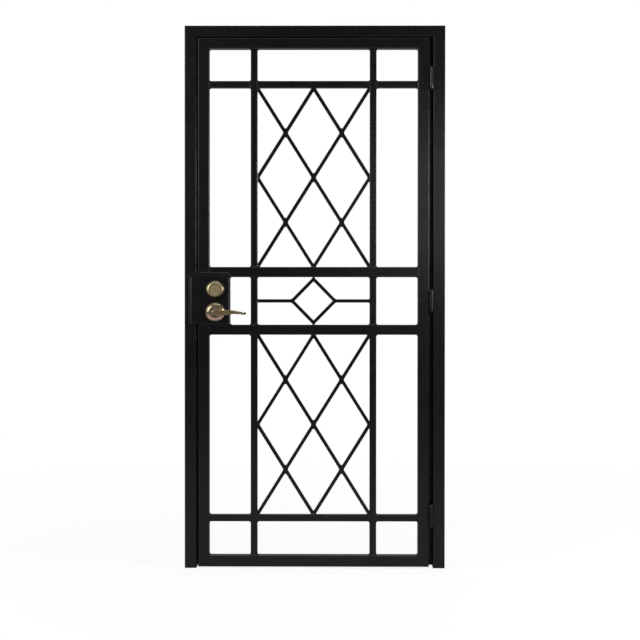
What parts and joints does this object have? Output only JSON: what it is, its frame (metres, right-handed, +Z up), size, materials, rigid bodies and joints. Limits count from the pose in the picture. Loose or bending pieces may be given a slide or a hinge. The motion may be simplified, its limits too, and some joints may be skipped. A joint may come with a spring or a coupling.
{
  "type": "security grille door",
  "caption": "Outward-opening steel grille door in its tube frame, with diamond lattice panels, a guarded lock bay, lever handles and weld-on barrel hinges.",
  "frame": {"origin": "on the outer side face of the hinge jamb, at its foot, half way through the frame's depth", "axes": "+X to the right as seen from outside, towards the wall on the hinge side; -Y to the outside; +Z up"},
  "size_m": [0.9906, 0.1615, 2.0638],
  "materials": {
    "black_coated_steel": "satin black powder coat",
    "antique_brass": "satin antique brass",
    "bright_steel": "plain zinc-plated steel"
  },
  "bodies": {
    "frame": {"strike_jamb": "black_coated_steel", "hinge_jamb": "black_coated_steel", "header": "black_coated_steel", "strike_stop": "black_coated_steel", "hinge_stop": "black_coated_steel", "header_stop": "black_coated_steel", "strike_plates": "bright_steel", "hinge_pins": "bright_steel", "top_hinge_barrel": "black_coated_steel", "middle_hinge_barrel": "black_coated_steel", "bottom_hinge_barrel": "black_coated_steel"},
    "leaf": {"lock_stile": "black_coated_steel", "hinge_stile": "black_coated_steel", "top_rail": "black_coated_steel", "bottom_rail": "black_coated_steel", "upper_middle_rail": "black_coated_steel", "lower_middle_rail": "black_coated_steel", "left_upright": "black_coated_steel", "right_upright": "black_coated_steel", "top_crossbar": "black_coated_steel", "bottom_crossbar": "black_coated_steel", "upper_lattice": "black_coated_steel", "lower_lattice": "black_coated_steel", "centre_diamond": "black_coated_steel", "diamond_arms": "black_coated_steel", "lock_box": "black_coated_steel", "guard_plate": "black_coated_steel", "bolt_faceplates": "bright_steel", "dead_bolt": "bright_steel", "latch_bolt": "bright_steel", "outer_lock_ring": "antique_brass", "outer_cylinder": "antique_brass", "inner_lock_ring": "antique_brass", "inner_cylinder": "antique_brass", "outer_rose": "antique_brass", "inner_rose": "antique_brass", "top_hinge_sleeve": "black_coated_steel", "middle_hinge_sleeve": "black_coated_steel", "bottom_hinge_sleeve": "black_coated_steel"},
    "levers": {"outer_lever": "antique_brass", "inner_lever": "antique_brass", "lever_spindle": "bright_steel"}
  },
  "joints": [
    {"name": "door_swing", "type": "hinge", "parent": "frame", "child": "leaf", "pos_m": [-0.05245, -0.0344, 1.018], "axis": [0, 0, 1], "range_deg": [0, 170]},
    {"name": "lever_turn", "type": "hinge", "parent": "leaf", "child": "levers", "pos_m": [-0.87265, -0.0394, 0.97505], "axis": [0, 1, 0], "range_deg": [0, 50], "stiffness_Nm_per_rad": 1.2, "springref_deg": -28.65}
  ]
}
